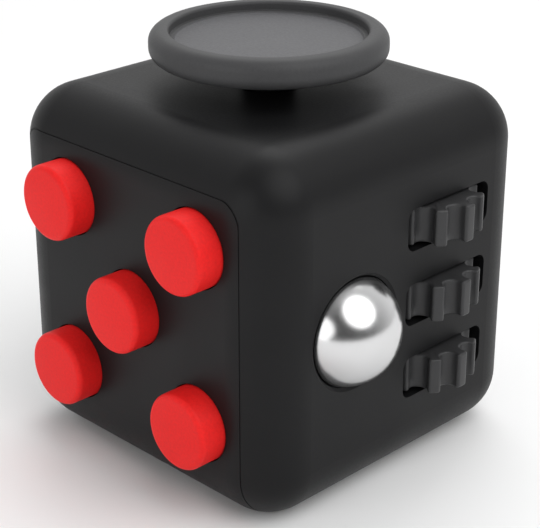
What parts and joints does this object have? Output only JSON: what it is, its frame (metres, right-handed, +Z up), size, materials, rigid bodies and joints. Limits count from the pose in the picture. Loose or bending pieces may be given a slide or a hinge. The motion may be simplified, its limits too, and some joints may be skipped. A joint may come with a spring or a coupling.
{
  "type": "fidget cube",
  "caption": "Hand-sized desk toy cube with push buttons, thumb wheels, a clicking steel ball, a tilting thumb stick, a rocker, a dial and a thumb hollow",
  "frame": {"origin": "centre of the cube's bottom face, which it rests on", "axes": "+Z up to the thumb stick, -Y to the push buttons, +X to the ball and thumb wheels"},
  "size_m": [0.0384, 0.0374, 0.0379],
  "materials": {
    "shell_plastic": "soft-touch matte black ABS",
    "button_plastic": "satin red ABS",
    "wheel_plastic": "satin dark grey ABS",
    "stick_plastic": "satin grey ABS with a fine grain on the thumb face",
    "polished_steel": "mirror-polished ball steel",
    "spring_steel": "plain spring steel",
    "screw_steel": "zinc-plated steel",
    "silicone": "matte moulded silicone",
    "brass": "turned brass",
    "inner_plastic": "natural matte dark nylon"
  },
  "bodies": {
    "casing": {"body_shell": "shell_plastic", "wrap_cover": "shell_plastic", "click_board": "inner_plastic", "click_board_screws": "screw_steel", "click_dome_middle": "spring_steel", "click_dome_upper_right": "spring_steel", "click_dome_lower_left": "spring_steel", "silent_pad_upper_left": "silicone", "silent_pad_lower_right": "silicone", "wheel_axle": "spring_steel", "wheel_bracket": "inner_plastic", "wheel_bracket_screws": "screw_steel", "wheel_detents": "spring_steel", "ball_dome": "spring_steel", "ball_plate": "inner_plastic", "ball_plate_screws": "screw_steel", "stick_frame": "inner_plastic", "centring_rubber": "silicone", "stick_clamp": "inner_plastic", "stick_screws": "screw_steel", "rocker_pin": "spring_steel", "rocker_frame": "inner_plastic", "rocker_spring": "spring_steel", "rocker_screws": "screw_steel", "dial_bush": "brass", "dial_washer": "spring_steel"},
    "button_middle": {"button_middle": "button_plastic"},
    "button_upper_left": {"button_upper_left": "button_plastic"},
    "button_upper_right": {"button_upper_right": "button_plastic"},
    "button_lower_left": {"button_lower_left": "button_plastic"},
    "button_lower_right": {"button_lower_right": "button_plastic"},
    "thumb_wheel_lower": {"thumb_wheel_lower": "wheel_plastic"},
    "thumb_wheel_middle": {"thumb_wheel_middle": "wheel_plastic"},
    "thumb_wheel_upper": {"thumb_wheel_upper": "wheel_plastic"},
    "ball_carrier": {"ball_cup": "inner_plastic"},
    "ball": {"steel_ball": "polished_steel"},
    "gimbal": {"gimbal_ring": "inner_plastic", "gimbal_pins": "spring_steel"},
    "thumb_stick": {"stick_cap": "stick_plastic", "stick_stem": "shell_plastic", "stem_pin": "spring_steel"},
    "rocker": {"rocker_switch": "wheel_plastic"},
    "dial": {"spin_dial": "wheel_plastic", "dial_spindle": "spring_steel", "dial_clip": "spring_steel"}
  },
  "joints": [
    {"name": "button_middle_press", "type": "slide", "parent": "casing", "child": "button_middle", "axis": [0, 1, 0], "range_m": [0, 0.0008], "stiffness_N_per_m": 800, "springref_m": -0.0002, "deforming": ["click_dome_middle"]},
    {"name": "button_upper_left_press", "type": "slide", "parent": "casing", "child": "button_upper_left", "axis": [0, 1, 0], "range_m": [0, 0.0008], "stiffness_N_per_m": 800, "springref_m": -0.0002, "deforming": ["silent_pad_upper_left"]},
    {"name": "button_upper_right_press", "type": "slide", "parent": "casing", "child": "button_upper_right", "axis": [0, 1, 0], "range_m": [0, 0.0008], "stiffness_N_per_m": 800, "springref_m": -0.0002, "deforming": ["click_dome_upper_right"]},
    {"name": "button_lower_left_press", "type": "slide", "parent": "casing", "child": "button_lower_left", "axis": [0, 1, 0], "range_m": [0, 0.0008], "stiffness_N_per_m": 800, "springref_m": -0.0002, "deforming": ["click_dome_lower_left"]},
    {"name": "button_lower_right_press", "type": "slide", "parent": "casing", "child": "button_lower_right", "axis": [0, 1, 0], "range_m": [0, 0.0008], "stiffness_N_per_m": 800, "springref_m": -0.0002, "deforming": ["silent_pad_lower_right"]},
    {"name": "thumb_wheel_lower_turn", "type": "hinge", "parent": "casing", "child": "thumb_wheel_lower", "pos_m": [0.0142, 0.00535, 0.0095], "axis": [0, 0, 1], "continuous": true, "deforming": ["wheel_detents"]},
    {"name": "thumb_wheel_middle_turn", "type": "hinge", "parent": "casing", "child": "thumb_wheel_middle", "pos_m": [0.0142, 0.00535, 0.0165], "axis": [0, 0, 1], "continuous": true, "deforming": ["wheel_detents"]},
    {"name": "thumb_wheel_upper_turn", "type": "hinge", "parent": "casing", "child": "thumb_wheel_upper", "pos_m": [0.0142, 0.00535, 0.0235], "axis": [0, 0, 1], "continuous": true, "deforming": ["wheel_detents"]},
    {"name": "ball_click", "type": "slide", "parent": "casing", "child": "ball_carrier", "axis": [-1, 0, 0], "range_m": [0, 0.0006], "stiffness_N_per_m": 1500, "springref_m": -0.0003, "deforming": ["ball_dome"]},
    {"name": "ball_roll", "type": "hinge", "parent": "ball_carrier", "child": "ball", "pos_m": [0.015, -0.0062, 0.01635], "axis": [0, 0, 1], "continuous": true},
    {"name": "stick_tilt_left_right", "type": "hinge", "parent": "casing", "child": "gimbal", "pos_m": [0, 0, 0.0292], "axis": [0, 1, 0], "range_deg": [-7, 7], "stiffness_Nm_per_rad": 0.02, "deforming": ["centring_rubber"]},
    {"name": "stick_tilt_fore_aft", "type": "hinge", "parent": "gimbal", "child": "thumb_stick", "pos_m": [0, 0, 0.0292], "axis": [1, 0, 0], "range_deg": [-7, 7], "stiffness_Nm_per_rad": 0.02, "deforming": ["centring_rubber"]},
    {"name": "rocker_flip", "type": "hinge", "parent": "casing", "child": "rocker", "pos_m": [-0.0134, 0, 0.0165], "axis": [0, -1, 0], "range_deg": [0, 18], "deforming": ["rocker_spring"]},
    {"name": "dial_spin", "type": "hinge", "parent": "casing", "child": "dial", "pos_m": [0, 0.0165, 0.0165], "axis": [0, 1, 0], "continuous": true}
  ]
}
